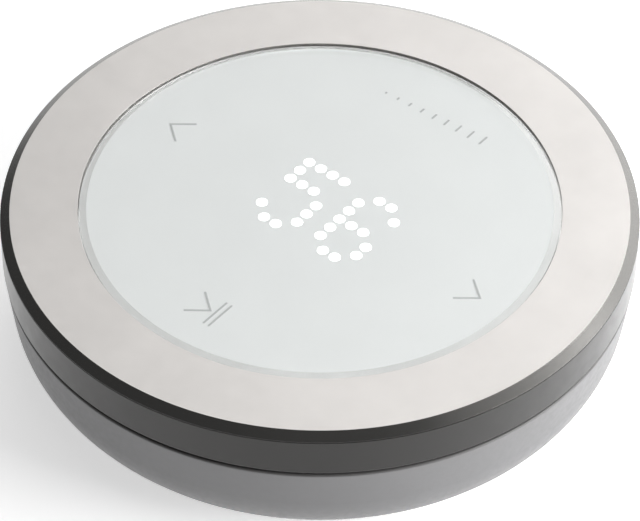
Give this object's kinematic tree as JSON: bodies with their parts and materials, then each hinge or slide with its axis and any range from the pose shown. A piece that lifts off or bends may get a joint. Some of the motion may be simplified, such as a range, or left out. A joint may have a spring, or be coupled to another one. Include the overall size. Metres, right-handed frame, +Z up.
{
  "type": "rotary remote control",
  "caption": "Round tabletop remote: an aluminium ring turns on a ball bearing round a fixed glass touch face with a dot display, over a tapered plastic base.",
  "frame": {"origin": "centre of the rubber foot's underside, on the ring's turning axis", "axes": "+Z up along the turning axis; +Y towards the top of the display; +X to its right"},
  "size_m": [0.08, 0.08, 0.022],
  "materials": {
    "ring_aluminium": "satin, fine bead-blasted and clear anodised, polished bevel",
    "band_aluminium": "satin, turned and dyed dark grey",
    "cover_glass": "clear, polished edge bevel",
    "film_white": "white printed film with light grey marks",
    "shell_plastic": "mid grey, fine satin moulding",
    "door_plastic": "mid grey, fine satin moulding",
    "foot_rubber": "soft matt",
    "seal_felt": "short black felt",
    "frame_plastic": "black glass-filled moulding",
    "tray_plastic": "dark grey moulding",
    "cage_plastic": "natural moulding",
    "race_steel": "hardened, ground",
    "ball_steel": "polished",
    "screw_steel": "black oxide",
    "spring_steel": "spring steel, bright",
    "contact_nickel": "nickel plated",
    "magnet_ferrite": "bonded ferrite, matt",
    "cell_label": "plain printed sleeve over the can",
    "board_laminate": "green solder mask",
    "chip_black": "moulded epoxy",
    "shield_tin": "tin plated",
    "antenna_ceramic": "matt",
    "led_white": "moulded lens",
    "grid_plastic": "white moulding",
    "diffuser_plastic": "milky sheet",
    "touch_plastic": "clear film",
    "tape_black": "foam tape",
    "flex_polyimide": "amber film",
    "pad_foam": "open-cell foam"
  },
  "bodies": {
    "base": {"lower_race": "race_steel", "hub_frame": "frame_plastic", "retaining_ring": "spring_steel", "dust_seal": "seal_felt", "sensor_board": "board_laminate", "hall_sensors": "chip_black", "sensor_flex": "flex_polyimide", "glass_face": "cover_glass", "printed_film": "film_white", "glass_tape": "tape_black", "touch_film": "touch_plastic", "diffuser_sheet": "diffuser_plastic", "light_grid": "grid_plastic", "led_array": "led_white", "main_board": "board_laminate", "board_screws": "screw_steel", "control_chip": "chip_black", "radio_shield": "shield_tin", "chip_antenna": "antenna_ceramic", "board_components": "chip_black", "battery_tray": "tray_plastic", "tray_screws": "screw_steel", "battery_left": "cell_label", "battery_right": "cell_label", "terminal_contacts": "contact_nickel", "bridge_contact": "contact_nickel", "contact_springs": "spring_steel", "base_shell": "shell_plastic", "foot_ring": "foot_rubber", "case_screws": "screw_steel"},
    "volume_ring": {"top_ring": "ring_aluminium", "grip_band": "band_aluminium", "ring_carrier": "frame_plastic", "ring_screws": "screw_steel", "magnet_ring": "magnet_ferrite", "upper_race": "race_steel"},
    "bearing_cage": {"ball_cage": "cage_plastic", "bearing_balls": "ball_steel"},
    "door": {"battery_door": "door_plastic", "door_pad": "pad_foam"}
  },
  "joints": [
    {"name": "ring_spin", "type": "hinge", "parent": "base", "child": "volume_ring", "pos_m": [0, 0, 0.018], "axis": [0, 0, 1], "continuous": true},
    {"name": "cage_spin", "type": "hinge", "parent": "base", "child": "bearing_cage", "pos_m": [0, 0, 0.01575], "axis": [0, 0, 1], "continuous": true},
    {"name": "door_twist", "type": "hinge", "parent": "base", "child": "door", "pos_m": [0, 0, 0.002], "axis": [0, 0, -1], "range_deg": [0, 30]}
  ],
  "couplings": [
    {"joint": "cage_spin", "follows": "ring_spin", "ratio": 0.5}
  ]
}
